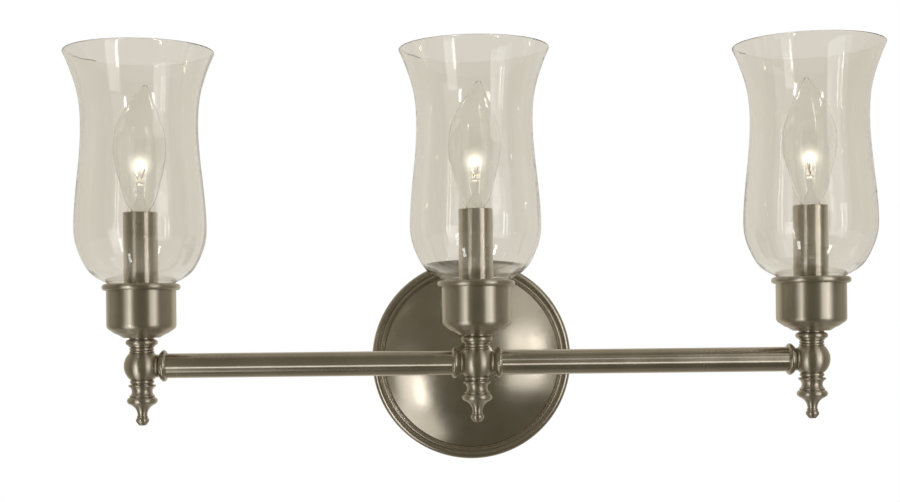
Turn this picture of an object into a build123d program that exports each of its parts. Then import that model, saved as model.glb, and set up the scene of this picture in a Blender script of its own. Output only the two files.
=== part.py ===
"""Three-light vanity bar: a round canopy on the wall carries one short arm and a horizontal bar.

Three turned columns stand on the bar. Each column is a finial, a ball hub, a cup, a metal candle
cover round a candelabra socket, a flame-tip bulb and a clear hurricane glass shade.

Row frame, in millimetres: +Z up, +X to the right as seen from the room, +Y into the wall. The origin
is on the wall plane, at the centre of the canopy and of the wall bracket. Screw threads are plain
cylinders at their major diameter, apart from the rolled thread on each bulb's base.
"""

from build123d import *
import math
import os

# Driving dimensions
LAMP_SPACING = 215.9  # column to column, 8.5 in
BAR_TO_WALL = 94.0  # bar axis to wall
TUBE_R = 7.94  # 5/8 in tube
TUBE_WALL = 1.0
PIPE_R = 4.75  # 1/8 IP threaded pipe
PIPE_BORE_R = 3.3
TAPPED_R = 4.8  # hole that takes the pipe
WIRE_R = 0.9  # 18 gauge lead with its insulation
CLEAR = 0.05

# Heights above the bar axis, shared by the pieces of a column
HUB_TOP, HUB_BOTTOM = 17.2, -11.7
BALL_R = 11.6
CUP_BOTTOM = 18.2
SHEET = 0.8  # spun sheet metal
CUP_R = 22.3
CUP_RIM = 52.9
NECK_R = 20.9  # glass neck, in the cup
NECK_BOTTOM = 25.1
SHADE_RIM = 202.2
SHADE_RIM_R = 48.3
GLASS = 1.8
CANDLE_TOP = 98.9
CANDLE_R, CANDLE_BORE_R = 11.1, 10.3
PIPE_TOP = 33.0
PIPE_INNER_END = 6.5  # every pipe stops here, which leaves the wires room to turn inside the hub

# Socket and bulb
SOCKET_BOTTOM, SOCKET_TOP, SOCKET_R = 66.0, 95.5, 9.6
SHELL_R, SHELL_BORE_R = 6.5, 6.02
BASE_BOTTOM, BASE_TOP = 80.0, 97.3
BASE_R = 5.5  # root of the E12 thread
THREAD_PITCH, THREAD_RIDGE = 2.54, 0.5
TIP_BOTTOM = 76.2
BULB_GLASS = 0.6

# Side outlets of a hub, measured from the column axis
OUTLET_END = 11.7
OUTLET_R = 7.4
COLLAR_R, COLLAR_LENGTH, COLLAR_RECESS = 10.2, 4.4, 2.0
TUBE_START = OUTLET_END + COLLAR_LENGTH - COLLAR_RECESS

# Canopy, depths measured from the wall
CANOPY_R = 70.0
CANOPY_DEPTH = 21.0
DOME_EDGE_R, DOME_EDGE_DEPTH = 61.0, 5.9
DOME_RADIUS = 130.0
SEAT_R = 12.5
CANOPY_SHEET = 1.0
STUD_SPACING = 101.6  # cap nuts, 4 in apart
STUD_R = 2.05
BRACKET_THICK = 2.0
STEM_PIPE_END = 12.5
WIRE_RUN_DEPTH = 8.0  # the wires run behind the canopy at this depth

COLUMNS = {"left": -LAMP_SPACING, "centre": 0.0, "right": LAMP_SPACING}
BULB_TURN = {"left": -37.0, "centre": -64.0, "right": -120.0}  # where each bent tip points
SOCKET_TURN = {"left": 90.0, "centre": 0.0, "right": 90.0}  # where each bracket leg stands


def section(x, turn=0.0):
    """The upright plane through a column: local X is the radius, local Y the height."""
    t = math.radians(turn)
    return Plane(
        origin=(x, -BAR_TO_WALL, 0), x_dir=(math.cos(t), math.sin(t), 0), z_dir=(math.sin(t), -math.cos(t), 0)
    )


def level(x, height, turn=0.0):
    """The horizontal plane that cuts a column at a height."""
    t = math.radians(turn)
    return Plane(origin=(x, -BAR_TO_WALL, height), x_dir=(math.cos(t), math.sin(t), 0), z_dir=(0, 0, 1))


def upright(x):
    """A column's own axis."""
    return Axis((x, -BAR_TO_WALL, 0), (0, 0, 1))


def outlet_plane(x, direction):
    """The plane across a hub's side outlet, facing away from the hub."""
    return Plane(origin=(x, -BAR_TO_WALL, 0), x_dir=(0, 0, 1), z_dir=direction)


def outlet_section(x, direction):
    """The plane along a side outlet: local X runs out from the hub, local Y is up."""
    d = Vector(*direction)
    return Plane(origin=(x, -BAR_TO_WALL, 0), x_dir=direction, z_dir=d.cross(Vector(0, 0, 1)))


def outlet_axis(x, direction):
    return Axis((x, -BAR_TO_WALL, 0), direction)


LEFT, RIGHT, BACK = (-1, 0, 0), (1, 0, 0), (0, 1, 0)
OUTLETS = {"left": [RIGHT], "centre": [LEFT, RIGHT, BACK], "right": [LEFT]}


def save(part, name):
    part.label = name
    export_step(part, f"parts/{name}.step")


def save_group(pieces, name):
    """Alike pieces that share one node."""
    save(Compound(label=name, children=[piece.part for piece in pieces]), name)


def dome_depth(r):
    """Depth of the canopy's front surface from the wall, at a radius on its dome."""
    return DOME_EDGE_DEPTH + math.sqrt(DOME_RADIUS**2 - r**2) - math.sqrt(DOME_RADIUS**2 - DOME_EDGE_R**2)


# ---------------------------------------------------------------- bar and columns


def make_hub(column):
    """Cast ball with a turned neck, tapped down its axis and through each side outlet."""
    x = COLUMNS[column]
    ball_low, ball_high = -8.4, 8.3
    with BuildPart() as hub:
        with BuildSketch(section(x)):
            with BuildLine():
                Polyline((0, HUB_BOTTOM), (6.9, HUB_BOTTOM), (6.9, -11.3))
                ThreePointArc((6.9, -11.3), (7.8, -10.1), (6.9, -8.9))
                Line((6.9, -8.9), (math.sqrt(BALL_R**2 - ball_low**2), ball_low))
                ThreePointArc(
                    (math.sqrt(BALL_R**2 - ball_low**2), ball_low),
                    (BALL_R, 0),
                    (math.sqrt(BALL_R**2 - ball_high**2), ball_high),
                )
                Line((math.sqrt(BALL_R**2 - ball_high**2), ball_high), (7.5, 8.5))
                ThreePointArc((7.5, 8.5), (8.1, 9.1), (7.5, 9.7))
                Line((7.5, 9.7), (7.2, 9.9))
                ThreePointArc((7.2, 9.9), (7.9, 10.9), (7.2, 11.9))
                Polyline((7.2, 11.9), (7.6, 12.2), (8.3, 12.4), (8.6, 13.3))
                ThreePointArc((8.6, 13.3), (10.3, 15.1), (8.9, 17.0))
                Polyline((8.9, 17.0), (8.5, HUB_TOP), (0, HUB_TOP), (0, HUB_BOTTOM))
            make_face()
        revolve(axis=upright(x))
        for direction in OUTLETS[column]:
            with BuildSketch(outlet_section(x, direction)):
                with BuildLine():
                    Polyline((0, 0), (0, 6.6), (9.1, 6.6))
                    ThreePointArc((9.1, 6.6), (10.0, OUTLET_R), (10.9, 6.6))
                    Polyline((10.9, 6.6), (11.1, 6.2), (OUTLET_END, 6.2), (OUTLET_END, 0), (0, 0))
                make_face()
            revolve(axis=outlet_axis(x, direction))
        with BuildSketch(level(x, HUB_BOTTOM)):
            Circle(TAPPED_R)
        extrude(amount=HUB_TOP - HUB_BOTTOM, mode=Mode.SUBTRACT)
        for direction in OUTLETS[column]:
            with BuildSketch(outlet_plane(x, direction)):
                Circle(TAPPED_R)
            extrude(amount=OUTLET_END, mode=Mode.SUBTRACT)
    save(hub.part, f"hub_{column}")


def make_finial(column):
    """Turned drop that screws up into the hub on its own threaded stud."""
    x = COLUMNS[column]
    with BuildPart() as finial:
        with BuildSketch(section(x)):
            with BuildLine():
                Polyline((0, -PIPE_INNER_END), (PIPE_R - 0.4, -PIPE_INNER_END), (PIPE_R, -6.9))
                Polyline((PIPE_R, -6.9), (PIPE_R, -11.9), (7.8, -11.9), (8.0, -12.0))
                ThreePointArc((8.0, -12.0), (8.8, -12.7), (8.2, -13.4))
                ThreePointArc((8.2, -13.4), (6.6, -16.3), (7.9, -19.0))
                ThreePointArc((7.9, -19.0), (8.2, -19.4), (7.8, -19.8))
                Line((7.8, -19.8), (8.3, -20.2))
                ThreePointArc((8.3, -20.2), (9.8, -22.3), (8.4, -24.4))
                Line((8.4, -24.4), (7.0, -25.2))
                ThreePointArc((7.0, -25.2), (4.1, -28.0), (3.1, -32.0))
                ThreePointArc((3.1, -32.0), (3.6, -32.6), (3.3, -33.2))
                Spline((3.3, -33.2), (4.2, -35.5), (2.6, -37.7), (0, -38.3), tangents=[(0.8, -0.6), (-1, 0)])
                Line((0, -38.3), (0, -PIPE_INNER_END))
            make_face()
        revolve(axis=upright(x))
    save(finial.part, f"finial_{column}")


def make_cup(column):
    """Spun cup with a rolled bead at its rim and a stepped cone below."""
    x = COLUMNS[column]
    bead_r, bead_height = 2.1, CUP_RIM - 2.1
    with BuildPart() as cup:
        with BuildSketch(section(x)):
            with BuildLine() as skin:
                Polyline((TAPPED_R + 0.1, CUP_BOTTOM), (11.6, CUP_BOTTOM), (15.2, 20.4), (16.9, 21.0), (20.6, 23.5))
                ThreePointArc((20.6, 23.5), (21.85, 24.8), (CUP_R, 26.7))
                Line((CUP_R, 26.7), (CUP_R, bead_height))
                offset(amount=SHEET, side=Side.LEFT)
            make_face()
            with Locations((CUP_R + 0.7, bead_height)):
                Circle(bead_r)
        revolve(axis=upright(x))
        with BuildSketch(level(x, bead_height - 4)):
            Circle(CUP_R - SHEET)
        extrude(amount=10, mode=Mode.SUBTRACT)
    save(cup.part, f"shade_cup_{column}")


def make_candle_cover(column):
    x = COLUMNS[column]
    with BuildPart() as cover:
        with BuildSketch(level(x, CUP_BOTTOM + SHEET + CLEAR)):
            Circle(CANDLE_R)
            Circle(CANDLE_BORE_R, mode=Mode.SUBTRACT)
        extrude(amount=CANDLE_TOP - CUP_BOTTOM - SHEET - CLEAR)
        chamfer(cover.faces().sort_by(Axis.Z)[-1].edges(), length=0.2)
    save(cover.part, f"candle_cover_{column}")


def make_shade(column):
    """Blown hurricane glass: a straight neck, a round shoulder, a waist and a flared, fire-polished rim."""
    x = COLUMNS[column]
    bend_height, bend_r, bend_turn = 50.9, 3.5, -61
    up = (0, 1)
    with BuildPart() as shade:
        with BuildSketch(section(x)):
            with BuildLine():
                neck = Line((NECK_R, NECK_BOTTOM), (NECK_R, bend_height))
                shoulder = JernArc(neck @ 1, up, bend_r, bend_turn)
                bowl = Spline(
                    shoulder @ 1,
                    (29.6, 57.9),
                    (37.3, 68.2),
                    (41.5, 80.0),
                    (42.2, 94.0),
                    (39.6, 124.0),
                    (37.5, 152.0),
                    (39.1, 174.4),
                    (43.4, 189.5),
                    (SHADE_RIM_R, SHADE_RIM - GLASS / 2),
                    tangents=[shoulder % 1, (0.5, 0.86)],
                    tangent_scalars=[0.6, 0.6],
                )
                inner_neck = Line((NECK_R - GLASS, NECK_BOTTOM), (NECK_R - GLASS, bend_height))
                inner_shoulder = JernArc(inner_neck @ 1, up, bend_r + GLASS, bend_turn)
                steps = [step / 14 for step in range(1, 15)]
                inward = [bowl @ t + (bowl % t).rotate(Axis.Z, 90) * GLASS for t in steps]
                inner_bowl = Spline(
                    inner_shoulder @ 1, *inward, tangents=[bowl % 0, bowl % 1], tangent_scalars=[0.6, 0.6]
                )
                rim_crown = (bowl @ 1 + inner_bowl @ 1) / 2 + (bowl % 1) * GLASS / 2
                ThreePointArc(bowl @ 1, rim_crown, inner_bowl @ 1)
                Line(neck @ 0, inner_neck @ 0)
            make_face()
        revolve(axis=upright(x))
    save(shade.part, f"shade_{column}")


def make_bar_tube(side, from_x, to_x):
    with BuildPart() as tube:
        with BuildSketch(Plane(origin=(from_x, -BAR_TO_WALL, 0), x_dir=(0, 0, 1), z_dir=RIGHT)):
            Circle(TUBE_R)
            Circle(TUBE_R - TUBE_WALL, mode=Mode.SUBTRACT)
        extrude(amount=to_x - from_x)
    save(tube.part, f"bar_tube_{side}")


def collar_outline(x, direction, start, way):
    """A collar's cross-section from its flat face at start; way is 1 where the tube goes on outward."""
    at = lambda along, r: (start + way * along, r)
    recess = COLLAR_LENGTH - COLLAR_RECESS
    with BuildSketch(outlet_section(x, direction)) as outline:
        with BuildLine():
            Polyline(at(0, TAPPED_R), at(0, 8.3), at(0.5, 8.9), at(0.9, 8.9))
            ThreePointArc(at(0.9, 8.9), at(2.5, COLLAR_R), at(4.1, 8.9))
            Polyline(at(4.1, 8.9), at(COLLAR_LENGTH, 8.6), at(COLLAR_LENGTH, TUBE_R + CLEAR))
            Polyline(at(COLLAR_LENGTH, TUBE_R + CLEAR), at(recess, TUBE_R + CLEAR), at(recess, TAPPED_R))
            Line(at(recess, TAPPED_R), at(0, TAPPED_R))
        make_face()
    return outline.sketch


def make_collars():
    """Six beaded rings that close the ends of the tubes: two on each bar tube and two on the stem."""
    stem_length = BAR_TO_WALL - CANOPY_DEPTH
    hub_face = OUTLET_END + CLEAR
    places = [
        (COLUMNS["left"], RIGHT, hub_face, 1),
        (COLUMNS["centre"], LEFT, hub_face, 1),
        (COLUMNS["centre"], RIGHT, hub_face, 1),
        (COLUMNS["right"], LEFT, hub_face, 1),
        (COLUMNS["centre"], BACK, hub_face, 1),
        (COLUMNS["centre"], BACK, stem_length - CLEAR, -1),
    ]
    collars = []
    for x, direction, start, way in places:
        outline = collar_outline(x, direction, start, way)
        with BuildPart() as collar:
            revolve(outline, axis=outlet_axis(x, direction))
        collars.append(collar)
    save_group(collars, "tube_collars")


def make_pipe(plane, length):
    """A length of threaded pipe, which also carries the wires."""
    with BuildPart() as pipe:
        with BuildSketch(plane):
            Circle(PIPE_R)
            Circle(PIPE_BORE_R, mode=Mode.SUBTRACT)
        extrude(amount=length)
        chamfer(pipe.edges().filter_by(GeomType.CIRCLE).group_by(SortBy.RADIUS)[-1], length=0.4)
    return pipe


def make_pipes():
    bar_length = LAMP_SPACING - 2 * PIPE_INNER_END
    risers = [make_pipe(level(x, PIPE_INNER_END), PIPE_TOP - PIPE_INNER_END) for x in COLUMNS.values()]
    save_group(risers, "column_pipes")
    bar_starts = [COLUMNS["left"] + PIPE_INNER_END, COLUMNS["centre"] + PIPE_INNER_END]
    planes = [Plane(origin=(x, -BAR_TO_WALL, 0), x_dir=(0, 0, 1), z_dir=RIGHT) for x in bar_starts]
    save_group([make_pipe(plane, bar_length) for plane in planes], "bar_pipes")
    stem = make_pipe(
        Plane(origin=(0, PIPE_INNER_END - BAR_TO_WALL, 0), x_dir=(0, 0, 1), z_dir=BACK),
        BAR_TO_WALL - PIPE_INNER_END - STEM_PIPE_END,
    )
    save(stem.part, "stem_pipe")


def make_stem_tube():
    """The short arm between the centre hub and the canopy."""
    start = TUBE_START + CLEAR
    end = BAR_TO_WALL - CANOPY_DEPTH - COLLAR_LENGTH + COLLAR_RECESS - CLEAR
    with BuildPart() as stem:
        with BuildSketch(Plane(origin=(0, start - BAR_TO_WALL, 0), x_dir=(0, 0, 1), z_dir=BACK)):
            Circle(TUBE_R)
            Circle(TUBE_R - TUBE_WALL, mode=Mode.SUBTRACT)
        extrude(amount=end - start)
    save(stem.part, "stem_tube")


def make_cup_hardware():
    """A seating washer under each cup and a hex locknut on a spring washer inside it."""
    washers, nuts = [], []
    for x in COLUMNS.values():
        with BuildPart() as washer:
            with BuildSketch(level(x, HUB_TOP + CLEAR)):
                Circle(8.0)
                Circle(TAPPED_R + CLEAR, mode=Mode.SUBTRACT)
            extrude(amount=CUP_BOTTOM - HUB_TOP - 2 * CLEAR)
        washers.append(washer)
        with BuildPart() as nut:
            with BuildSketch(level(x, CUP_BOTTOM + SHEET + CLEAR)):
                RegularPolygon(radius=7.1, side_count=6, major_radius=False)
                Circle(TAPPED_R, mode=Mode.SUBTRACT)
            extrude(amount=3.2)
        nuts.append(nut)
    save_group(washers, "cup_washers")
    save_group(nuts, "cup_locknuts")


# ---------------------------------------------------------------- sockets


def make_socket_body(column):
    """Moulded socket body, with a bore for the screw shell and a pocket for the contact leaf."""
    x = COLUMNS[column]
    with BuildPart() as body:
        with BuildSketch(level(x, SOCKET_BOTTOM)):
            Circle(SOCKET_R)
        extrude(amount=SOCKET_TOP - SOCKET_BOTTOM)
        chamfer(body.faces().sort_by(Axis.Z)[-1].edges(), length=0.8)
        with BuildSketch(level(x, SOCKET_BOTTOM + 4.5)):
            Circle(SHELL_R + CLEAR)
        extrude(amount=SOCKET_TOP, mode=Mode.SUBTRACT)
        with BuildSketch(level(x, SOCKET_BOTTOM)):
            Circle(1.6)
        extrude(amount=SOCKET_TOP, mode=Mode.SUBTRACT)
    save(body.part, f"socket_body_{column}")


def make_socket_shell(column):
    """Thin brass screw shell with a turned-out lip."""
    x = COLUMNS[column]
    floor = SOCKET_BOTTOM + 4.5 + CLEAR
    with BuildPart() as shell:
        with BuildSketch(section(x)):
            with BuildLine():
                Polyline(
                    (3.4, floor),
                    (SHELL_R, floor),
                    (SHELL_R, SOCKET_TOP + 0.1),
                    (7.3, SOCKET_TOP + 0.1),
                    (7.3, SOCKET_TOP + 0.5),
                    (6.4, SOCKET_TOP + 0.5),
                    (SHELL_BORE_R, SOCKET_TOP + 0.1),
                    (SHELL_BORE_R, floor + 0.45),
                    (3.4, floor + 0.45),
                    (3.4, floor),
                )
            make_face()
        revolve(axis=upright(x))
    save(shell.part, f"socket_shell_{column}")


def make_socket_contacts():
    """Centre contacts: a rivet through the body, under a sprung leaf that meets the bulb's tip."""
    contacts = []
    leaf_top, leaf_thick = TIP_BOTTOM - 0.15, 0.4
    for column, x in COLUMNS.items():
        with BuildPart() as contact:
            with BuildSketch(level(x, SOCKET_BOTTOM - 0.8)):
                Circle(1.5)
            extrude(amount=5.9)
            with BuildSketch(section(x, SOCKET_TURN[column])):
                with BuildLine():
                    Polyline(
                        (-2.6, SOCKET_BOTTOM + 5.1),
                        (2.6, SOCKET_BOTTOM + 5.1),
                        (2.9, leaf_top - 1.6),
                        (1.2, leaf_top - leaf_thick),
                        (-1.2, leaf_top - leaf_thick),
                    )
                    offset(amount=leaf_thick, side=Side.RIGHT)
                make_face()
            extrude(amount=1.4, both=True)
        contacts.append(contact)
    save_group(contacts, "socket_contacts")


def make_socket_brackets():
    """Steel strap that screws onto the column pipe and holds its socket up."""
    brackets = []
    foot, leg_in, leg_out, half_width, thick = 27.0, 8.2, 9.4, 3.5, 1.2
    for column, x in COLUMNS.items():
        turn = SOCKET_TURN[column]
        with BuildPart() as bracket:
            with BuildSketch(level(x, foot, turn)):
                Circle(7.4)
                with Locations((leg_out / 2, 0)):
                    Rectangle(leg_out, 2 * half_width)
            extrude(amount=2.4)
            with BuildSketch(level(x, foot, turn)):
                with Locations(((leg_in + leg_out) / 2, 0)):
                    Rectangle(leg_out - leg_in, 2 * half_width)
            extrude(amount=SOCKET_BOTTOM - CLEAR - foot)
            with BuildSketch(level(x, SOCKET_BOTTOM - CLEAR - thick, turn)):
                with Locations(((leg_out - 3.4) / 2, 0)):
                    Rectangle(leg_out + 3.4, 2 * half_width)
            extrude(amount=thick)
            with BuildSketch(level(x, foot)):
                Circle(TAPPED_R)
            extrude(amount=2.4, mode=Mode.SUBTRACT)
            with BuildSketch(level(x, SOCKET_BOTTOM - 2)):
                Circle(1.6)
            extrude(amount=3, mode=Mode.SUBTRACT)
        brackets.append(bracket)
    save_group(brackets, "socket_brackets")


# ---------------------------------------------------------------- bulbs

# Radius of the flame-shaped glass at each height above the candle cover's top
FLAME = [(-0.9, 5.15), (5.1, 8.6), (18.5, 12.9), (30.0, 15.7), (40.0, 17.0), (48.0, 16.6), (56.0, 14.6)]
FLAME_TIP = [(63.8, 11.4), (69.3, 8.6), (74.5, 5.6), (79.0, 2.8), (81.5, 1.2)]
TIP_BEND = 6.0  # sideways reach of the bent tip


def bend(height):
    """How far the glass's centre has moved sideways at a height above the candle cover's top."""
    start, end = FLAME[-1][0], FLAME_TIP[-1][0]
    return TIP_BEND * (max(0.0, height - start) / (end - start)) ** 1.6


def tip_circles(x, turn, inset):
    """Circles up the bent end of the flame, drawn in by inset."""
    t = math.radians(turn)
    circles = []
    for height, r in [FLAME[-1], *FLAME_TIP]:
        centre = (x + bend(height) * math.cos(t), bend(height) * math.sin(t) - BAR_TO_WALL)
        with BuildSketch(Plane(origin=(*centre, CANDLE_TOP + height - inset / 3), z_dir=(0, 0, 1))) as circle:
            Circle(max(r - inset, 0.4))
        circles.append(circle.sketch)
    return circles


def flame_outline(x, inset):
    """Half outline of the flame's straight lower part and its neck, drawn in by inset."""
    points = [(r - inset, CANDLE_TOP + height) for height, r in FLAME]
    top = points[-1][1] - inset / 3
    points[-1] = (points[-1][0], top)
    neck_bottom = BASE_BOTTOM + 4.0
    with BuildSketch(section(x)) as outline:
        with BuildLine():
            Line((points[0][0], neck_bottom), points[0])
            Spline(*points, tangents=[(0.35, 0.94), (-0.36, 0.93)])
            Polyline(points[-1], (0, top), (0, neck_bottom), (points[0][0], neck_bottom))
        make_face()
    return outline.sketch


def make_bulb_glass(column):
    """Blown flame-tip envelope, open at its neck."""
    x, turn = COLUMNS[column], BULB_TURN[column]
    outer, inner = flame_outline(x, 0), flame_outline(x, BULB_GLASS)
    outer_tip, inner_tip = tip_circles(x, turn, 0), tip_circles(x, turn, BULB_GLASS)
    with BuildPart() as hollow:
        revolve(inner, axis=upright(x))
        loft(inner_tip)
    with BuildPart() as glass:
        revolve(outer, axis=upright(x))
        loft(outer_tip)
        add(hollow.part, mode=Mode.SUBTRACT)
    save(glass.part, f"bulb_glass_{column}")


def make_bulb_stem(column):
    """Glass mount: a flared tube from the neck that narrows to a flattened press with a button on top."""
    x = COLUMNS[column]
    low = BASE_BOTTOM + 6.0
    with BuildPart() as stem:
        with BuildSketch(section(x)):
            with BuildLine():
                Polyline((0, low), (4.5, low), (4.5, low + 1.5), (3.9, low + 3.0), (3.9, CANDLE_TOP + 1.0))
                Spline(
                    (3.9, CANDLE_TOP + 1.0),
                    (3.5, CANDLE_TOP + 5.5),
                    (2.0, CANDLE_TOP + 9.5),
                    (1.7, CANDLE_TOP + 14.0),
                    (1.9, CANDLE_TOP + 17.6),
                )
                Spline(
                    (1.9, CANDLE_TOP + 17.6),
                    (2.3, CANDLE_TOP + 18.7),
                    (0, CANDLE_TOP + 20.0),
                    tangents=[(0.3, 0.95), (-1, 0)],
                )
                Line((0, CANDLE_TOP + 20.0), (0, low))
            make_face()
        revolve(axis=upright(x))
        with BuildSketch(level(x, low)):
            Circle(3.2)
        extrude(amount=13.5, mode=Mode.SUBTRACT)
    save(stem.part, f"bulb_stem_{column}")


def make_bulb_leads(column):
    """Two lead wires that carry the filament and one support wire between them."""
    x, turn = COLUMNS[column], BULB_TURN[column]
    plane = section(x, turn)
    with BuildPart() as leads:
        for side in (-1, 1):
            with BuildLine(plane) as lead:
                FilletPolyline(
                    (side * 1.5, CANDLE_TOP + 20.3),
                    (side * 2.0, CANDLE_TOP + 22.5),
                    (side * 4.7, CANDLE_TOP + 27.75),
                    radius=3.0,
                )
            with BuildSketch(Plane(origin=lead.line @ 0, z_dir=lead.line % 0)):
                Circle(0.25)
            sweep(path=lead.line)
        with BuildLine(plane) as support:
            FilletPolyline((0, CANDLE_TOP + 20.1), (0.02, CANDLE_TOP + 26), (0, CANDLE_TOP + 31.2), radius=9.0)
        with BuildSketch(Plane(origin=support.line @ 0, z_dir=support.line % 0)):
            Circle(0.2)
        sweep(path=support.line)
    save(leads.part, f"bulb_leads_{column}")


def make_bulb_filament(column):
    """The coiled filament's outer shape, arched from lead to lead over the support."""
    x, turn = COLUMNS[column], BULB_TURN[column]
    with BuildPart() as filament:
        with BuildLine(section(x, turn)) as arch:
            ThreePointArc((-4.75, CANDLE_TOP + 28.2), (0, CANDLE_TOP + 32.1), (4.75, CANDLE_TOP + 28.2))
        with BuildSketch(Plane(origin=arch.line @ 0, z_dir=arch.line % 0)):
            Circle(0.55)
        sweep(path=arch.line)
    save(filament.part, f"bulb_filament_{column}")


def make_bulb_base(column):
    """E12 screw shell with its rolled thread."""
    x = COLUMNS[column]
    wall = 0.3
    thread_low, thread_turns = BASE_BOTTOM + 1.6, 4
    with BuildPart() as base:
        with BuildSketch(section(x)):
            with BuildLine():
                Polyline((3.7, BASE_BOTTOM - 1.4), (BASE_R, BASE_BOTTOM), (BASE_R, BASE_TOP - 0.6), (5.7, BASE_TOP))
                Polyline((5.7, BASE_TOP), (5.7 - wall, BASE_TOP), (BASE_R - wall, BASE_TOP - 0.6))
                Polyline((BASE_R - wall, BASE_TOP - 0.6), (BASE_R - wall, BASE_BOTTOM + 0.2), (3.7, BASE_BOTTOM - 1.0))
                Line((3.7, BASE_BOTTOM - 1.0), (3.7, BASE_BOTTOM - 1.4))
            make_face()
        revolve(axis=upright(x))
        with BuildLine() as ridge:
            Helix(
                pitch=THREAD_PITCH,
                height=THREAD_PITCH * thread_turns,
                radius=BASE_R - 0.05,
                center=(x, -BAR_TO_WALL, thread_low),
            )
        with BuildSketch(Plane(origin=ridge.line @ 0, z_dir=ridge.line % 0)):
            Circle(THREAD_RIDGE)
        sweep(path=ridge.line, is_frenet=True)
        with BuildSketch(level(x, BASE_BOTTOM)):
            Circle(BASE_R - wall)
        extrude(amount=BASE_TOP - BASE_BOTTOM, mode=Mode.SUBTRACT)
    save(base.part, f"bulb_base_{column}")


def make_bulb_tip(column):
    """The base's insulator, with the solder contact under it."""
    x = COLUMNS[column]
    glass_low = TIP_BOTTOM + 1.0
    with BuildPart() as insulator:
        with BuildSketch(section(x)):
            with BuildLine():
                Polyline((0, glass_low), (1.9, glass_low), (3.5, BASE_BOTTOM - 1.3), (3.5, BASE_BOTTOM - 0.3))
                Polyline((3.5, BASE_BOTTOM - 0.3), (0, BASE_BOTTOM - 0.3), (0, glass_low))
            make_face()
        revolve(axis=upright(x))
    with BuildPart() as solder:
        with BuildSketch(section(x)):
            with BuildLine():
                ThreePointArc((0, TIP_BOTTOM), (1.2, TIP_BOTTOM + 0.35), (1.8, glass_low))
                Polyline((1.8, glass_low), (0, glass_low), (0, TIP_BOTTOM))
            make_face()
        revolve(axis=upright(x))
    save_group([insulator, solder], f"bulb_tip_{column}")


# ---------------------------------------------------------------- wall side


def make_canopy():
    """Spun round canopy: two beads at the rim, a shallow dome and a flat seat for the stem."""
    dome_in = (SEAT_R + 3.0, dome_depth(SEAT_R + 3.0))
    dome_mid = (40.0, dome_depth(40.0))
    dome_out = (DOME_EDGE_R, DOME_EDGE_DEPTH)
    with BuildPart() as canopy:
        with BuildSketch(Plane(origin=(0, 0, 0), x_dir=(1, 0, 0), z_dir=(0, 0, 1))):
            with BuildLine():
                Line((CANOPY_R, 0), (CANOPY_R, -1.6))
                ThreePointArc((CANOPY_R, -1.6), (68.6, -4.2), (65.7, -4.5))
                Polyline((65.7, -4.5), (65.0, -4.3), (64.7, -4.8))
                ThreePointArc((64.7, -4.8), (63.6, -6.1), (62.3, -5.3))
                Polyline((62.3, -5.3), (61.7, -5.0), (dome_out[0], -dome_out[1]))
                ThreePointArc((dome_out[0], -dome_out[1]), (dome_mid[0], -dome_mid[1]), (dome_in[0], -dome_in[1]))
                Polyline((dome_in[0], -dome_in[1]), (SEAT_R, -CANOPY_DEPTH), (TAPPED_R + 0.1, -CANOPY_DEPTH))
                offset(amount=CANOPY_SHEET, side=Side.RIGHT)
            make_face()
        revolve(axis=Axis.Y)
        with BuildSketch(Plane.XZ):
            with GridLocations(STUD_SPACING, 0, 2, 1):
                Circle(STUD_R + 0.5)
        extrude(amount=CANOPY_DEPTH, mode=Mode.SUBTRACT)
    save(canopy.part, "canopy")


SLOT_SPACING, SLOT_LENGTH, SLOT_WIDTH = 79.4, 14.3, 4.8  # box screws 2.75 to 3.5 in apart
GROUND_X = 21.0


def make_wall_bracket():
    """Flat steel crossbar that screws to the ceiling or wall box behind the canopy."""
    with BuildPart() as bracket:
        with BuildSketch(Plane.XZ):
            RectangleRounded(116, 20, 4)
            with GridLocations(SLOT_SPACING, 0, 2, 1):
                SlotOverall(SLOT_LENGTH, SLOT_WIDTH, mode=Mode.SUBTRACT)
            with GridLocations(STUD_SPACING, 0, 2, 1):
                Circle(STUD_R + CLEAR, mode=Mode.SUBTRACT)
            Circle(TAPPED_R, mode=Mode.SUBTRACT)
            with Locations((GROUND_X, 0)):
                Circle(2.3, mode=Mode.SUBTRACT)
        extrude(amount=BRACKET_THICK)
    save(bracket.part, "wall_bracket")


CAP_SEAT = 12.2  # depth of the cap nuts' foot
CAP_BALL_R = 5.7


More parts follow.
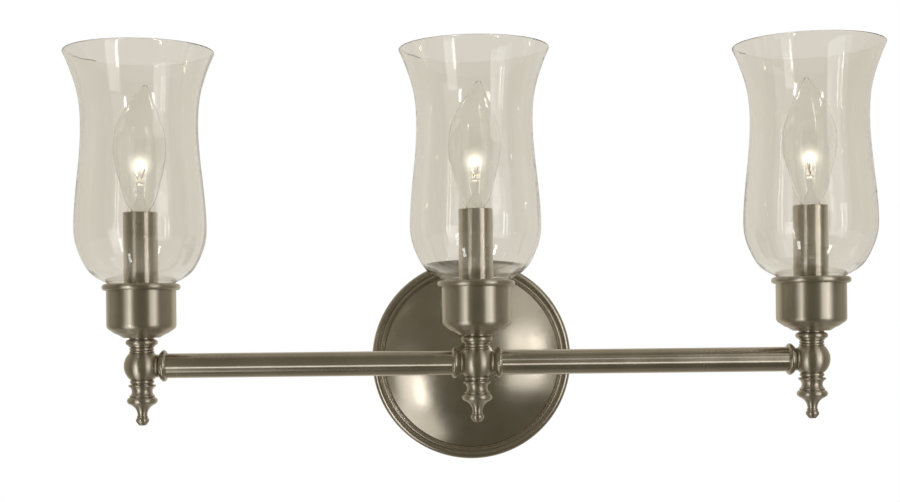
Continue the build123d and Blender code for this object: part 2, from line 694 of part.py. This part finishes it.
def make_studs_and_cap_nuts():
    """Two studs stand out of the bracket, each with a jam nut, and take the ball-shaped cap nuts."""
    studs, caps = [], []
    neck_r, neck_depth = 2.9, CAP_SEAT + 1.4
    ball_depth = neck_depth + math.sqrt(CAP_BALL_R**2 - neck_r**2)
    for x in (-STUD_SPACING / 2, STUD_SPACING / 2):
        with BuildPart() as stud:
            with BuildSketch(Plane.XZ):
                with Locations((x, 0)):
                    Circle(STUD_R)
            extrude(amount=CAP_SEAT + 5.0)
            with BuildSketch(Plane.XZ.offset(BRACKET_THICK + CLEAR)):
                with Locations((x, 0)):
                    RegularPolygon(radius=3.9, side_count=6, major_radius=False)
            extrude(amount=2.4)
        studs.append(stud)
        with BuildPart() as cap:
            with BuildSketch(Plane(origin=(x, 0, 0), x_dir=(1, 0, 0), z_dir=(0, 0, 1))):
                with BuildLine():
                    Polyline((0, -CAP_SEAT), (3.4, -CAP_SEAT), (3.4, -CAP_SEAT - 0.9), (neck_r, -neck_depth))
                    ThreePointArc((neck_r, -neck_depth), (CAP_BALL_R, -ball_depth), (0, -ball_depth - CAP_BALL_R))
                    Line((0, -ball_depth - CAP_BALL_R), (0, -CAP_SEAT))
                make_face()
            revolve(axis=Axis((x, 0, 0), (0, 1, 0)))
            with BuildSketch(Plane.XZ.offset(CAP_SEAT)):
                with Locations((x, 0)):
                    Circle(STUD_R + CLEAR)
            extrude(amount=5.4, mode=Mode.SUBTRACT)
        caps.append(cap)
    save_group(studs, "bracket_studs")
    save_group(caps, "cap_nuts")


def make_stem_locknut():
    """Hex nut that draws the canopy, the stem and the centre hub together."""
    with BuildPart() as nut:
        with BuildSketch(Plane.XZ.offset(CANOPY_DEPTH - CANOPY_SHEET - 1.0 - 3.4)):
            RegularPolygon(radius=7.1, side_count=6, major_radius=False)
            Circle(TAPPED_R, mode=Mode.SUBTRACT)
        extrude(amount=3.4)
    save(nut.part, "stem_locknut")


def make_ground_screw():
    with BuildPart() as screw:
        with BuildSketch(Plane.XZ.offset(BRACKET_THICK + 1.4)):
            with Locations((GROUND_X, 0)):
                RegularPolygon(radius=4.2, side_count=6, major_radius=False)
        extrude(amount=2.2)
        with BuildSketch(Plane.XZ.offset(BRACKET_THICK + 2.8)):
            with Locations((GROUND_X, 0)):
                Rectangle(10, 0.9)
        extrude(amount=1.0, mode=Mode.SUBTRACT)
        with BuildSketch(Plane.XZ):
            with Locations((GROUND_X, 0)):
                Circle(2.2)
        extrude(amount=BRACKET_THICK + 1.4)
    save(screw.part, "ground_screw")


def make_ground_wire():
    """Bare copper wire from a ring terminal under the stem's locknut to the ground screw."""
    ring_depth = CANOPY_DEPTH - CANOPY_SHEET - 1.0 + CLEAR
    wire_r, lug_x = 0.6, 11.5
    with BuildPart() as ring:
        with BuildSketch(Plane.XZ.offset(ring_depth)):
            Circle(7.8)
            with Locations((lug_x / 2 + 0.7, 0)):
                Rectangle(lug_x, 4.0)
            Circle(TAPPED_R, mode=Mode.SUBTRACT)
        extrude(amount=0.8)
    with BuildPart() as wire:
        with BuildLine(Plane(origin=(0, 0, 0), x_dir=(1, 0, 0), z_dir=(0, 0, 1))) as route:
            FilletPolyline(
                (lug_x - 1.0, -ring_depth + wire_r + CLEAR),
                (lug_x + 2.0, -ring_depth + wire_r + CLEAR + 0.1),
                (14.5, -10.0),
                (14.3, -BRACKET_THICK - wire_r - 0.2),
                (GROUND_X - 3.0, -BRACKET_THICK - wire_r - 0.05),
                radius=[1.6, 12.0, 1.2],
            )
        with BuildSketch(Plane(origin=route.line @ 0, z_dir=route.line % 0)):
            Circle(wire_r)
        sweep(path=route.line)
    save_group([ring, wire], "ground_wire")


# ---------------------------------------------------------------- wiring

HOT, NEUTRAL = 1, -1
PAIR_GAP = 1.1  # half the spacing of a pair of wires in a pipe
RING_GAP = 2.2  # the six wires lie on this radius in the stem pipe
TERMINAL_X = 5.6  # where a wire leaves its socket
NUT_MOUTH, NUT_LENGTH = 26.0, 19.0


def down_the_column(x, near, turn):
    """Route points from a socket's terminal down into the column pipe; near is the side, 1 or -1."""
    t = math.radians(turn)
    along = lambda r, height: (x + near * r * math.cos(t), near * r * math.sin(t) - BAR_TO_WALL, height)
    return [
        along(TERMINAL_X, SOCKET_BOTTOM - CLEAR),
        along(TERMINAL_X, 55.0),
        along(PAIR_GAP, 41.0),
    ]


def canopy_end(x, z, way):
    """Route points behind the canopy: turn up or down, then into the wire nut."""
    nut_x = x * PAIR_GAP / 1.9
    back = -WIRE_RUN_DEPTH - (0.35 if x else -0.9)
    return [
        (x, back, z),
        (x, back, way * 17.0),
        (nut_x, -WIRE_RUN_DEPTH - (0.6 if x else -1.2), way * 23.0),
        (nut_x, -WIRE_RUN_DEPTH - (0.6 if x else -1.2), way * (NUT_MOUTH + 8.0)),
    ]


def side_wire(x, way):
    """A side lamp's wire: down its column, along the bar, back through the stem and into the wire nut."""
    inward = -1 if x > 0 else 1
    near = inward * way
    z = way * PAIR_GAP
    stem_x = -inward * 1.9
    bend_r = 4.5 if way == HOT else 6.7
    points = [
        *down_the_column(x, near, 0),
        (x + near * PAIR_GAP, -BAR_TO_WALL, z),
        (stem_x, -BAR_TO_WALL, z),
        *canopy_end(stem_x, z, way),
    ]
    return points, [60.0, 60.0, bend_r, 4.6, 4.0, 22.0, 12.0]


def centre_wire(way):
    """The centre lamp's wire: down its column, back through the stem and into the wire nut."""
    near = 1 if way == HOT else -1
    z = way * RING_GAP
    points = [
        *down_the_column(0, near, 90),
        (0, near * PAIR_GAP - BAR_TO_WALL, z),
        *canopy_end(0, z, way),
    ]
    return points, [60.0, 60.0, 4.4 if way == HOT else 6.0, 4.0, 22.0, 12.0]


def make_wires(way, name):
    """The three leads of one colour."""
    wires = []
    for points, radii in (
        side_wire(COLUMNS["left"], way),
        centre_wire(way),
        side_wire(COLUMNS["right"], way),
    ):
        with BuildPart() as wire:
            with BuildLine() as route:
                FilletPolyline(*points, radius=radii)
            with BuildSketch(Plane(origin=route.line @ 0, z_dir=route.line % 0)):
                Circle(WIRE_R)
            sweep(path=route.line)
        wires.append(wire)
    save_group(wires, name)


def make_wire_nuts():
    """Two twist-on connectors, one above the stem and one below, with ribbed skirts."""
    nuts = []
    for way in (HOT, NEUTRAL):
        with BuildPart() as nut:
            plane = Plane(origin=(0, -WIRE_RUN_DEPTH, way * NUT_MOUTH), x_dir=(1, 0, 0), z_dir=(0, 0, way))
            with BuildSketch(plane):
                Circle(5.4)
            extrude(amount=6)
            with BuildSketch(plane.offset(6)):
                Circle(4.9)
            extrude(amount=NUT_LENGTH - 6, taper=7)
            with BuildSketch(plane):
                Circle(3.1)
            extrude(amount=11, mode=Mode.SUBTRACT)
            with BuildSketch(plane.offset(7)):
                with PolarLocations(5.0, 8):
                    Circle(0.7)
            extrude(amount=NUT_LENGTH - 8, mode=Mode.SUBTRACT)
        nuts.append(nut)
    save_group(nuts, "wire_nuts")


os.makedirs("parts", exist_ok=True)
for column in COLUMNS:
    make_hub(column)
    make_finial(column)
    make_cup(column)
    make_candle_cover(column)
    make_shade(column)
    make_socket_body(column)
    make_socket_shell(column)
    make_bulb_glass(column)
    make_bulb_stem(column)
    make_bulb_leads(column)
    make_bulb_filament(column)
    make_bulb_base(column)
    make_bulb_tip(column)
make_bar_tube("left", COLUMNS["left"] + TUBE_START + CLEAR, -TUBE_START - CLEAR)
make_bar_tube("right", TUBE_START + CLEAR, COLUMNS["right"] - TUBE_START - CLEAR)
make_collars()
make_pipes()
make_stem_tube()
make_cup_hardware()
make_socket_contacts()
make_socket_brackets()
make_canopy()
make_wall_bracket()
make_studs_and_cap_nuts()
make_stem_locknut()
make_ground_screw()
make_ground_wire()
make_wires(HOT, "hot_wires")
make_wires(NEUTRAL, "neutral_wires")
make_wire_nuts()
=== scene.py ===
"""Looks of the vanity light bar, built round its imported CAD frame.

Metres, in the row frame: +X right as seen from the room, +Y into the wall, +Z up. Every CAD node gets a material
here. Only the bulbs' filaments change shape: wound coils replace them.
"""

import math

import bmesh
import bpy
from mathutils import Matrix, Vector


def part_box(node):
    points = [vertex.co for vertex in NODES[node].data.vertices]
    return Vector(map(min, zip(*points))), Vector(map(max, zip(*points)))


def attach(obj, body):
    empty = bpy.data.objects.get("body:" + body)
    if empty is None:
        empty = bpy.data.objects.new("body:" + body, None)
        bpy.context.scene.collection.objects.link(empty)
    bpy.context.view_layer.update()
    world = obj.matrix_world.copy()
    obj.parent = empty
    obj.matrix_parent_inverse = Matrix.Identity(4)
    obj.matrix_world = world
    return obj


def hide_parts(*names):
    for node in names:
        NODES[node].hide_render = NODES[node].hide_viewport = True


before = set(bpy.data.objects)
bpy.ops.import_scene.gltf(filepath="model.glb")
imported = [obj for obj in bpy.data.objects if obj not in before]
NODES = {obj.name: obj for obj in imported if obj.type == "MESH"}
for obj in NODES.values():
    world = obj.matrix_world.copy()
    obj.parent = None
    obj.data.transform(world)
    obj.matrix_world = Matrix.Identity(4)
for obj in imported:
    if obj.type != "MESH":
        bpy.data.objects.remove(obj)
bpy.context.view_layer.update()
MM = 0.001
SIDES = ("left", "centre", "right")


def column_axis(side):
    """Where a column's own axis stands, as (x, y)."""
    low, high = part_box(f"candle_cover_{side}")
    return (low.x + high.x) / 2, (low.y + high.y) / 2


AXES = {side: column_axis(side) for side in SIDES}
BAR_Y = AXES["centre"][1]

# ---------------------------------------------------------------- camera

CAMERA_BACK = 0.9623  # from the bar
CAMERA_X, CAMERA_Z = -0.041, 0.0246
CAMERA_ROLL = math.radians(0.62)
CAMERA_LENS = 59.72  # mm, on a sensor 36 mm wide
CAMERA_SHIFT_X, CAMERA_SHIFT_Y = 0.0412, 0.0822

camera = bpy.data.objects.new("camera", bpy.data.cameras.new("camera"))
camera.data.sensor_width = 36
camera.data.lens = CAMERA_LENS
camera.data.shift_x = CAMERA_SHIFT_X
camera.data.shift_y = CAMERA_SHIFT_Y
camera.data.clip_start = 0.02
camera.matrix_world = (
    Matrix.Translation((CAMERA_X, BAR_Y - CAMERA_BACK, CAMERA_Z))
    @ Matrix.Rotation(math.pi / 2, 4, "X")
    @ Matrix.Rotation(-CAMERA_ROLL, 4, "Z")
)
bpy.context.scene.collection.objects.link(camera)
bpy.context.scene.camera = camera
bpy.context.scene.view_settings.view_transform = "Standard"

# ---------------------------------------------------------------- materials


def put(tree, kind, settings=None, **inputs):
    """Adds a node. An input's value is a number, a colour, or the socket that feeds it."""
    node = tree.nodes.new(kind)
    for name, value in (settings or {}).items():
        setattr(node, name, value)
    for name, value in inputs.items():
        socket = node.inputs[name.replace("_", " ")]
        if isinstance(value, bpy.types.NodeSocket):
            tree.links.new(value, socket)
        else:
            socket.default_value = value
    return node


def maths(tree, operation, *values):
    """Adds a maths node. A value is a number or the socket that feeds it."""
    node = put(tree, "ShaderNodeMath", {"operation": operation})
    for socket, value in zip(node.inputs, values):
        if isinstance(value, bpy.types.NodeSocket):
            tree.links.new(value, socket)
        else:
            socket.default_value = value
    return node.outputs[0]


def new_material(name):
    """A material, its node tree and its shader."""
    material = bpy.data.materials.new(name)
    material.use_nodes = True
    tree = material.node_tree
    return material, tree, tree.nodes["Principled BSDF"]


def stretched(tree, scale):
    """Object coordinates, stretched by a scale for each axis."""
    place = put(tree, "ShaderNodeTexCoord").outputs["Object"]
    return put(tree, "ShaderNodeMapping", Vector=place, Scale=scale).outputs["Vector"]


def noise(tree, vector, scale=1.0, detail=3.0, roughness=0.5):
    """A noise between 0 and 1."""
    node = put(tree, "ShaderNodeTexNoise", Vector=vector, Scale=scale, Detail=detail, Roughness=roughness)
    return node.outputs["Fac"]


def ranged(tree, value, from_low, from_high, low=0.0, high=1.0):
    """A number that runs from low to high as value goes from from_low to from_high."""
    node = put(
        tree, "ShaderNodeMapRange", Value=value, From_Min=from_low, From_Max=from_high, To_Min=low, To_Max=high
    )
    return node.outputs["Result"]


NOISE_LOW, NOISE_HIGH = 0.3, 0.7  # the part of a noise's range that moves a roughness


def two_tone(tree, fac, dark, light, low=0.35, high=0.65):
    """A colour that runs from dark to light as fac goes from low to high."""
    ramp = put(tree, "ShaderNodeValToRGB", Fac=fac)
    first, last = ramp.color_ramp.elements
    first.position, last.position = low, high
    first.color, last.color = (*dark, 1), (*light, 1)
    return ramp.outputs["Color"]


def bump(tree, surface, height, distance):
    """Relief in the shader's normal, distance metres deep."""
    node = put(tree, "ShaderNodeBump", Height=height, Distance=distance, Strength=1.0)
    tree.links.new(node.outputs["Normal"], surface.inputs["Normal"])


GRAIN_DEPTH = 7e-7  # of the nickel's polishing marks
COIL_RADIANCE = 60
NICKEL_LIGHT = (0.56, 0.505, 0.42)
NICKEL_DARK = (0.49, 0.44, 0.36)
LAMP_SPACING = AXES["centre"][0] - AXES["left"][0]


def column_tangent(tree):
    """The way round the nearest column, which is how its parts were turned and polished."""
    place = put(tree, "ShaderNodeTexCoord").outputs["Object"]
    at = put(tree, "ShaderNodeSeparateXYZ", Vector=place).outputs
    across = maths(tree, "WRAP", at["X"], LAMP_SPACING / 2, -LAMP_SPACING / 2)
    depth = maths(tree, "SUBTRACT", BAR_Y, at["Y"])
    return put(tree, "ShaderNodeCombineXYZ", X=depth, Y=across, Z=0.0).outputs["Vector"]


def axis_tangent(axis):
    """The way round a piece that is centred on one axis."""

    def tangent(tree):
        node = put(tree, "ShaderNodeTangent", {"direction_type": "RADIAL", "axis": axis})
        return node.outputs["Tangent"]

    return tangent


def satin_nickel(name, grain, roughness, tangent=None, spread=0.0):
    """Warm satin nickel. grain stretches the polishing marks, and tangent is the way that they run."""
    material, tree, surface = new_material(name)
    marks = noise(tree, stretched(tree, grain), detail=4, roughness=0.6)
    clouds = noise(tree, stretched(tree, (1, 1, 1)), scale=38, detail=4)
    tree.links.new(two_tone(tree, clouds, NICKEL_DARK, NICKEL_LIGHT), surface.inputs["Base Color"])
    uneven = maths(tree, "MULTIPLY_ADD", marks, 0.5, maths(tree, "MULTIPLY", clouds, 0.5))
    tree.links.new(ranged(tree, uneven, NOISE_LOW, NOISE_HIGH, *roughness), surface.inputs["Roughness"])
    surface.inputs["Metallic"].default_value = 1
    if tangent:
        surface.inputs["Anisotropic"].default_value = spread
        surface.inputs["Anisotropic Rotation"].default_value = 0.25  # of a full turn
        tree.links.new(tangent(tree), surface.inputs["Tangent"])
    bump(tree, surface, marks, distance=GRAIN_DEPTH)
    return material


def metal(name, dark, light, roughness, scale, depth, metallic=1.0):
    """Plated, stamped or bare hardware with blotchy colour and a fine tooled surface."""
    material, tree, surface = new_material(name)
    place = stretched(tree, (1, 1, 1))
    blotch = noise(tree, place, scale=scale / 6, detail=4)
    fine = noise(tree, place, scale=scale * 4, detail=3)
    tree.links.new(two_tone(tree, blotch, dark, light), surface.inputs["Base Color"])
    tree.links.new(ranged(tree, fine, NOISE_LOW, NOISE_HIGH, *roughness), surface.inputs["Roughness"])
    surface.inputs["Metallic"].default_value = metallic
    bump(tree, surface, fine, distance=depth)
    return material


def plastic(name, dark, light, roughness, scale, depth):
    """The same surface as metal() gives, but not metallic."""
    return metal(name, dark, light, roughness, scale, depth, metallic=0.0)


def glass(name, pale, clear, ripple_scale, ripple_depth, smear, ior=1.49):
    """Clear blown glass: faint waves, and the slight unevenness of shine that wiping leaves."""
    material, tree, surface = new_material(name)
    place = stretched(tree, (1, 1, 0.45))
    wave = noise(tree, place, scale=ripple_scale, detail=2)
    smears = noise(tree, place, scale=ripple_scale * 2.3, detail=4)
    tree.links.new(two_tone(tree, wave, pale, clear), surface.inputs["Base Color"])
    tree.links.new(ranged(tree, smears, NOISE_LOW, NOISE_HIGH, *smear), surface.inputs["Roughness"])
    surface.inputs["Transmission Weight"].default_value = 1
    surface.inputs["IOR"].default_value = ior
    bump(tree, surface, wave, distance=ripple_depth)
    return material


def glowing_tungsten(name):
    """A lit coil, hottest in patches along its length."""
    material, tree, surface = new_material(name)
    heat = noise(tree, stretched(tree, (1, 1, 1)), scale=420, detail=2)
    glow = two_tone(tree, heat, (1.0, 0.62, 0.26), (1.0, 0.86, 0.62))
    tree.links.new(glow, surface.inputs["Emission Color"])
    tree.links.new(two_tone(tree, heat, (0.25, 0.2, 0.15), (0.4, 0.36, 0.3)), surface.inputs["Base Color"])
    surface.inputs["Emission Strength"].default_value = COIL_RADIANCE
    surface.inputs["Metallic"].default_value = 1
    surface.inputs["Roughness"].default_value = 0.5
    return material


TURNED = (60, 60, 1500)  # marks that run round an upright axis
DRAWN = (1500, 60, 60)  # marks that run round the bar
SPUN = (160, 160, 160)
nickel_turned = satin_nickel("satin_nickel_turned", TURNED, (0.34, 0.42), column_tangent, 0.85)
nickel_candle = satin_nickel("satin_nickel_candle", TURNED, (0.26, 0.32), column_tangent, 0.9)
nickel_drawn = satin_nickel("satin_nickel_drawn", DRAWN, (0.2, 0.28), axis_tangent("X"), 0.7)
nickel_spun = satin_nickel("satin_nickel_spun", SPUN, (0.2, 0.26))
nickel_small = satin_nickel("satin_nickel_small", SPUN, (0.22, 0.3))
shade_glass = glass("hurricane_glass", (0.965, 0.957, 0.935), (0.99, 0.987, 0.975), 22, 2.4e-4, (0.0, 0.05))
lamp_glass = glass("lamp_glass", (0.975, 0.97, 0.955), (0.995, 0.993, 0.987), 60, 3e-5, (0.0, 0.01), 1.32)
press_glass = glass("pressed_lamp_glass", (0.93, 0.925, 0.91), (0.98, 0.978, 0.97), 260, 1.2e-4, (0.0, 0.05), 1.25)
brass = metal("stamped_brass", (0.52, 0.37, 0.15), (0.72, 0.55, 0.27), (0.25, 0.4), 160, 8e-6)
zinc = metal("zinc_plate", (0.42, 0.43, 0.44), (0.62, 0.63, 0.62), (0.28, 0.45), 130, 8e-6)
copper = metal("bare_copper", (0.5, 0.22, 0.11), (0.78, 0.42, 0.26), (0.22, 0.4), 200, 6e-6)
lead_wire = metal("nickel_wire", (0.3, 0.27, 0.24), (0.5, 0.47, 0.42), (0.3, 0.45), 400, 3e-6)
green_plate = metal("green_plate", (0.02, 0.16, 0.06), (0.05, 0.3, 0.13), (0.25, 0.4), 160, 6e-6, 0.8)
phenolic = plastic("moulded_phenolic", (0.012, 0.011, 0.011), (0.035, 0.032, 0.03), (0.3, 0.45), 180, 1e-5)
black_glass = plastic("black_insulator", (0.008, 0.008, 0.012), (0.03, 0.03, 0.04), (0.1, 0.2), 200, 5e-6)
black_wire = plastic("black_insulation", (0.01, 0.01, 0.01), (0.03, 0.03, 0.03), (0.32, 0.45), 220, 8e-6)
white_wire = plastic("white_insulation", (0.7, 0.68, 0.62), (0.84, 0.82, 0.77), (0.35, 0.48), 220, 8e-6)
orange_cap = plastic("orange_cap", (0.62, 0.17, 0.02), (0.8, 0.27, 0.04), (0.4, 0.55), 180, 1.5e-5)
tungsten = glowing_tungsten("lit_tungsten")


def finish_node(name, material):
    """Gives a CAD node one material."""
    slots = NODES[name].data.materials
    slots.clear()
    slots.append(material)


FINISHES = {
    nickel_spun: ["canopy"],
    nickel_drawn: ["bar_tube_left", "bar_tube_right"],
    nickel_small: ["stem_tube", "tube_collars", "cap_nuts"],
    nickel_turned: ["cup_washers"],
    brass: ["cup_locknuts", "socket_contacts", "stem_locknut"],
    zinc: ["column_pipes", "bar_pipes", "stem_pipe", "socket_brackets", "wall_bracket", "bracket_studs"],
    copper: ["ground_wire"],
    green_plate: ["ground_screw"],
    black_wire: ["hot_wires"],
    white_wire: ["neutral_wires"],
    orange_cap: ["wire_nuts"],
}
for side in SIDES:
    FINISHES[nickel_turned] += [f"{piece}_{side}" for piece in ("hub", "finial", "shade_cup")]
    FINISHES.setdefault(nickel_candle, []).append(f"candle_cover_{side}")
    FINISHES[brass] += [f"socket_shell_{side}", f"bulb_base_{side}"]
    FINISHES.setdefault(phenolic, []).append(f"socket_body_{side}")
    FINISHES.setdefault(black_glass, []).append(f"bulb_tip_{side}")
    FINISHES.setdefault(lead_wire, []).append(f"bulb_leads_{side}")
    FINISHES.setdefault(shade_glass, []).append(f"shade_{side}")
    FINISHES.setdefault(lamp_glass, []).append(f"bulb_glass_{side}")
    FINISHES.setdefault(press_glass, []).append(f"bulb_stem_{side}")
    FINISHES.setdefault(tungsten, []).append(f"bulb_filament_{side}")
for material, names in FINISHES.items():
    for name in names:
        finish_node(name, material)

# ---------------------------------------------------------------- bulbs' coils

BULB_TURN = {"left": -37, "centre": -64, "right": -120}  # which way each filament's arch lies, in degrees
ARCH_REACH, ARCH_RISE = 4.75 * MM, 3.9 * MM  # half the arch's span, and its height
COIL_R, COIL_WIRE_R, COIL_TURNS = 0.42 * MM, 0.12 * MM, 20
TURN_STEPS, WIRE_SIDES = 14, 6  # steps in one turn of the coil, and the sides of its wire
GLOW_COLOUR = (1.0, 0.9, 0.72)
GLOW = ((2.9, 30), (4.0, 0.8), (5.2, 0.5), (6.6, 0.3), (8.3, 0.16), (10.3, 0.08))  # radius in mm, radiance


def coil_path(side):
    """Points along a coil that is wound round the filament's arch."""
    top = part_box(f"bulb_filament_{side}")[1].z - COIL_R - COIL_WIRE_R
    arch_r = (ARCH_REACH**2 + ARCH_RISE**2) / (2 * ARCH_RISE)
    half = math.atan2(ARCH_REACH, arch_r - ARCH_RISE)
    centre = Vector((*AXES[side], top - arch_r))
    turn = math.radians(BULB_TURN[side])
    along = Vector((math.cos(turn), math.sin(turn), 0))
    across, up = Vector((-along.y, along.x, 0)), Vector((0, 0, 1))
    steps = COIL_TURNS * TURN_STEPS
    points = []
    for i in range(steps + 1):
        at = half * (2 * i / steps - 1)
        out = along * math.sin(at) + up * math.cos(at)
        wind = 2 * math.pi * i / TURN_STEPS
        points.append(centre + out * (arch_r + COIL_R * math.cos(wind)) + across * COIL_R * math.sin(wind))
    return points


def wire_mesh(name, path, radius):
    """A round wire swept along a path, with closed ends."""
    mesh = bmesh.new()
    rings = []
    for i, point in enumerate(path):
        ahead = (path[min(i + 1, len(path) - 1)] - path[max(i - 1, 0)]).normalized()
        right = ahead.cross(Vector((0, 0, 1)))
        right = right.normalized() if right.length > 1e-6 else Vector((1, 0, 0))
        lift = right.cross(ahead)
        angles = [2 * math.pi * k / WIRE_SIDES for k in range(WIRE_SIDES)]
        rings.append([mesh.verts.new(point + radius * (right * math.cos(a) + lift * math.sin(a))) for a in angles])
    for one, two in zip(rings, rings[1:]):
        for k in range(WIRE_SIDES):
            mesh.faces.new((one[k], one[k - 1], two[k - 1], two[k]))
    mesh.faces.new(rings[0])
    mesh.faces.new(reversed(rings[-1]))
    bmesh.ops.recalc_face_normals(mesh, faces=mesh.faces)
    for face in mesh.faces:
        face.smooth = len(face.verts) == 4
    data = bpy.data.meshes.new(name)
    mesh.to_mesh(data)
    mesh.free()
    wire = bpy.data.objects.new(name, data)
    bpy.context.scene.collection.objects.link(wire)
    return wire


def light_coil(side, coil):
    """The coil's own light, with the soft halo that so bright a thing has."""
    for radius, radiance in GLOW:
        lamp = bpy.data.lights.new(f"glow_{side}", "POINT")
        lamp.shadow_soft_size = radius * MM
        lamp.energy = radiance * (2 * math.pi * radius * MM) ** 2
        lamp.color = GLOW_COLOUR
        glow = bpy.data.objects.new(lamp.name, lamp)
        glow.location = Vector((*AXES[side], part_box(f"bulb_filament_{side}")[1].z - ARCH_RISE / 2))
        glow.parent = coil
        glow.visible_camera = False
        bpy.context.scene.collection.objects.link(glow)


for side in SIDES:
    coil = wire_mesh(f"filament_coil_{side}", coil_path(side), COIL_WIRE_R)
    coil.data.materials.append(tungsten)
    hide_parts(f"bulb_filament_{side}")
    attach(coil, f"bulb_{side}")
    light_coil(side, coil)

# ---------------------------------------------------------------- studio

BACKDROP = (0.70, 0.665, 0.585)  # warm grey paper behind the object
ROOM_SIDE = (0.40, 0.375, 0.31)
ROOM_FRONT = (0.19, 0.178, 0.135)  # unlit room behind the camera
ROOM_LOW = 0.7  # the room's brightness towards the floor, as a share of that higher up


def studio_world():
    """A dim warm room in reflections, the backdrop's paper through glass, and plain white to the camera."""
    world = bpy.data.worlds.new("studio")
    bpy.context.scene.world = world
    world.use_nodes = True
    tree = world.node_tree
    tree.nodes.clear()
    ways = put(tree, "ShaderNodeTexCoord").outputs["Generated"]
    toward = put(tree, "ShaderNodeSeparateXYZ", Vector=ways).outputs
    wallward = ranged(tree, toward["Y"], -1.0, 1.0)
    ramp = put(tree, "ShaderNodeValToRGB", Fac=wallward)
    ends = ramp.color_ramp.elements
    ends[0].position, ends[0].color = 0.3, (*ROOM_FRONT, 1)
    ends[1].position, ends[1].color = 0.92, (*BACKDROP, 1)
    for position in (0.55, 0.75):
        ends.new(position).color = (*ROOM_SIDE, 1)
    level = ranged(tree, toward["Z"], -0.5, 0.2, ROOM_LOW, 1.0)
    strength = maths(tree, "MAXIMUM", level, ranged(tree, wallward, 0.55, 0.8))  # the backdrop doesn't darken
    room = put(tree, "ShaderNodeBackground", Color=ramp.outputs["Color"], Strength=strength).outputs[0]
    paper = put(tree, "ShaderNodeBackground", Color=(*BACKDROP, 1)).outputs[0]
    plain = put(tree, "ShaderNodeBackground", Color=(1, 1, 1, 1)).outputs[0]
    path = put(tree, "ShaderNodeLightPath").outputs
    straight = maths(tree, "LESS_THAN", path["Glossy Depth"], 0.5)  # a ray that has met no mirror on its way
    ahead = ranged(tree, toward["Y"], 0.0, 0.45)
    through = maths(tree, "MULTIPLY", path["Is Transmission Ray"], maths(tree, "MAXIMUM", straight, ahead))
    seen = put(tree, "ShaderNodeMixShader", Fac=through)
    tree.links.new(room, seen.inputs[1])
    tree.links.new(paper, seen.inputs[2])
    final = put(tree, "ShaderNodeMixShader", Fac=path["Is Camera Ray"])
    tree.links.new(seen.outputs[0], final.inputs[1])
    tree.links.new(plain, final.inputs[2])
    put(tree, "ShaderNodeOutputWorld", Surface=final.outputs[0])


def softbox(name, azimuth, elevation, radiance, distance=1.25, only=None):
    """A diffused panel that faces the canopy, between two azimuths and two elevations in degrees.

    Azimuth 0 is straight out from the wall, and positive is right. only holds the objects that it lights, if not all.
    """
    turn, rise = (math.radians(sum(span) / 2) for span in (azimuth, elevation))
    width, height = (2 * distance * math.tan(math.radians(span[1] - span[0]) / 2) for span in (azimuth, elevation))
    way = Vector((math.sin(turn) * math.cos(rise), -math.cos(turn) * math.cos(rise), math.sin(rise)))
    lamp = bpy.data.lights.new(name, "AREA")
    lamp.shape = "RECTANGLE"
    lamp.size, lamp.size_y = width, height
    lamp.energy = radiance * math.pi * width * height
    panel = bpy.data.objects.new(name, lamp)
    panel.location = way * distance
    panel.rotation_euler = (-way).to_track_quat("-Z", "Y").to_euler()
    panel.visible_camera = False
    bpy.context.scene.collection.objects.link(panel)
    if only:
        lit = bpy.data.collections.new(f"{name}_lights")
        for node in only:
            lit.objects.link(node)
        panel.light_linking.receiver_collection = lit


SHADES = [NODES[f"shade_{side}"] for side in SIDES]
COLUMNS = [NODES[f"{piece}_{side}"] for side in SIDES for piece in ("candle_cover", "shade_cup", "hub", "finial")]
TUBES = [NODES[f"bar_tube_{side}"] for side in ("left", "right")]
studio_world()
softbox("softbox_left", (-50, -32), (-30, 2), 1.5)
softbox("softbox_left_low", (-61, -31), (-56, -30), 1.1)
softbox("softbox_left_core", (-36, -33), (-30, -12), 6)
softbox("softbox_right", (26, 50), (-20, 20), 1.25)
softbox("softbox_right_high", (31, 59), (20, 47), 0.65)
softbox("softbox_right_side", (50, 60), (-20, 20), 0.5)
softbox("softbox_right_core", (28, 35), (-6, 14), 0.6)
softbox("tube_near", (44, 45), (-12, 12), 7)
softbox("tube_far", (50, 51), (-12, 12), 7)
softbox("column_left", (-39, -30), (-11, 2), 3.2, only=COLUMNS)
softbox("column_right", (38, 46), (-11, 2), 1.2, only=COLUMNS)
softbox("spark_high_left", (-33, -29), (30, 42), 14, only=SHADES)
softbox("spark_high_right", (24, 28), (34, 44), 14, only=SHADES)
softbox("spark_low_left", (-28, -24), (-44, -34), 14, only=SHADES)
softbox("spark_low_right", (34, 38), (-40, -30), 14, only=SHADES)
softbox("strip_low", (-45, 45), (-22, -13), 1.5, only=TUBES)
softbox("strip_high", (-45, 45), (20, 26), 0.7, only=TUBES[1:])

FLOOR_Z, FLOOR_R = -0.5, 2.4


def make_floor():
    """A round pale studio floor, well below the fixture."""
    bpy.ops.mesh.primitive_circle_add(vertices=128, radius=FLOOR_R, fill_type="NGON", location=(0, BAR_Y, FLOOR_Z))
    floor = bpy.context.active_object
    floor.name = "floor"
    floor.visible_glossy = False
    floor.data.materials.append(plastic("pale_floor", (0.8, 0.8, 0.79), (0.86, 0.86, 0.85), (0.6, 0.75), 12, 1e-5))
    return floor


softbox("floor_light", (-45, 45), (55, 125), 1.9, distance=3.0, only=[make_floor()])
